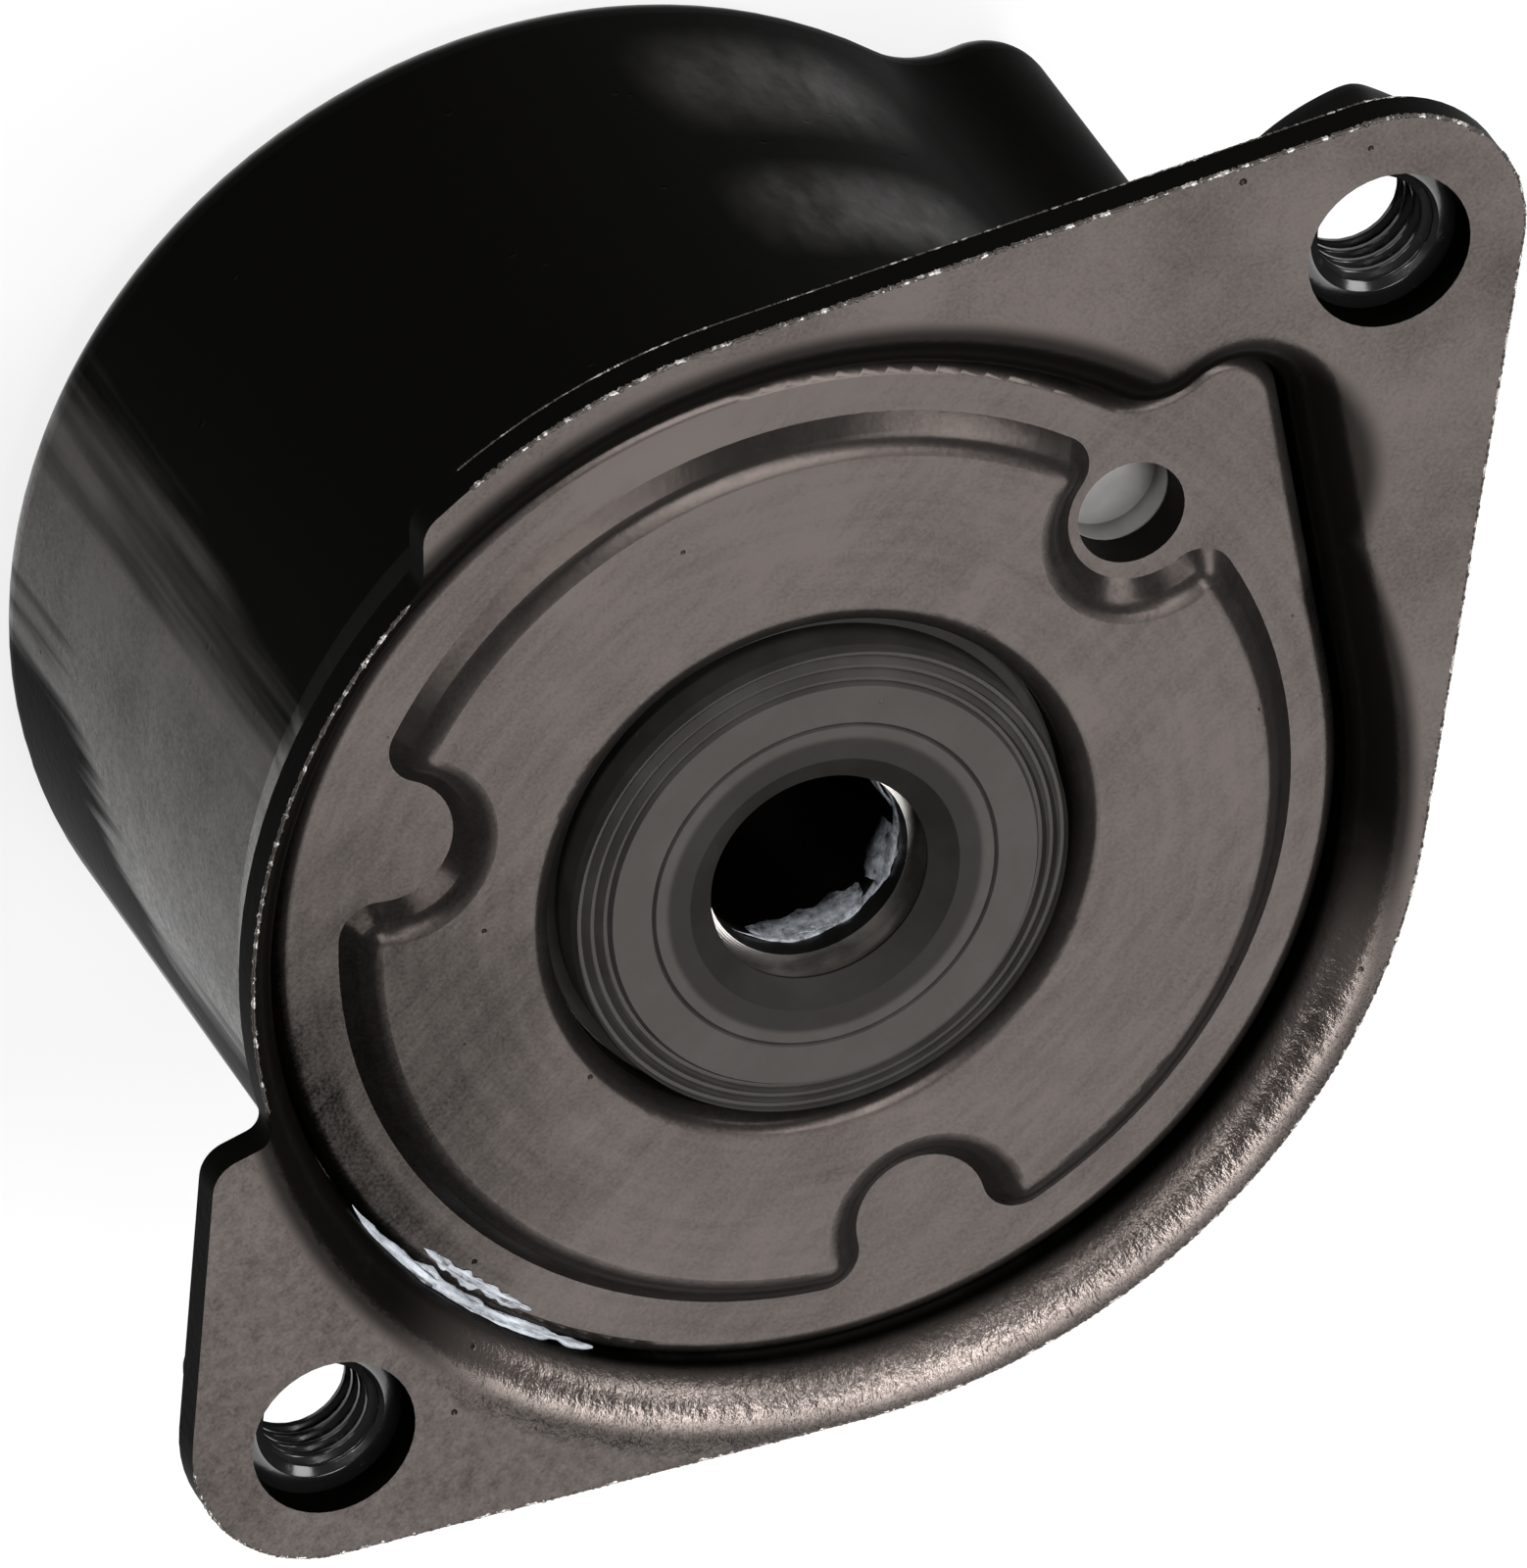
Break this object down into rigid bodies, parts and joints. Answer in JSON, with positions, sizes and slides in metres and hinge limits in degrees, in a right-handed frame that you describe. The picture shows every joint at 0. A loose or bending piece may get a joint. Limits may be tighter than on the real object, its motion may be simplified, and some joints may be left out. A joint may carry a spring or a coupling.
{
  "type": "belt tensioner spring housing",
  "caption": "Two-eared steel drum with a torsion spring inside, a recessed stamped cover plate and a rubber faced pivot hub with a through bore.",
  "frame": {"origin": "on the pivot axis, in the plane of the closed end that the part stands on", "axes": "+Z along the pivot axis, out of the open face; +X towards the ear beside the drum's lobe"},
  "size_m": [0.1145, 0.0782, 0.049],
  "materials": {
    "coated_steel": "satin",
    "coated_plate": "satin",
    "black_nut": "gloss",
    "nitrile": "matte",
    "bare_steel": "machined",
    "spring_steel": "shot peened",
    "pale_plastic": "moulded",
    "dark_plastic": "moulded"
  },
  "bodies": {
    "housing": {"drum_housing": "coated_steel", "weld_nut_upper": "black_nut", "weld_nut_lower": "black_nut", "closing_plate": "coated_plate", "front_pivot_bush": "dark_plastic", "front_spring_seat": "pale_plastic", "torsion_spring": "spring_steel", "spring_liner": "dark_plastic", "rear_pivot_bush": "dark_plastic", "rear_o_ring": "nitrile", "travel_stop": "coated_steel", "free_stop_buffer": "nitrile", "full_stop_buffer": "nitrile"},
    "hub": {"pivot_hub": "bare_steel", "seal_carrier": "bare_steel", "seal_ring": "nitrile", "front_thrust_washer": "bare_steel", "spring_arbor": "bare_steel", "damping_ring": "pale_plastic", "preload_washer": "spring_steel", "rear_thrust_washer": "bare_steel", "retaining_ring": "spring_steel"}
  },
  "joints": [
    {"name": "hub_pivot", "type": "hinge", "parent": "housing", "child": "hub", "pos_m": [0, 0, 0], "axis": [0, 0, 1], "range_deg": [-40, 0], "stiffness_Nm_per_rad": 8.6, "springref_deg": 68.75, "deforming": ["torsion_spring"]}
  ]
}
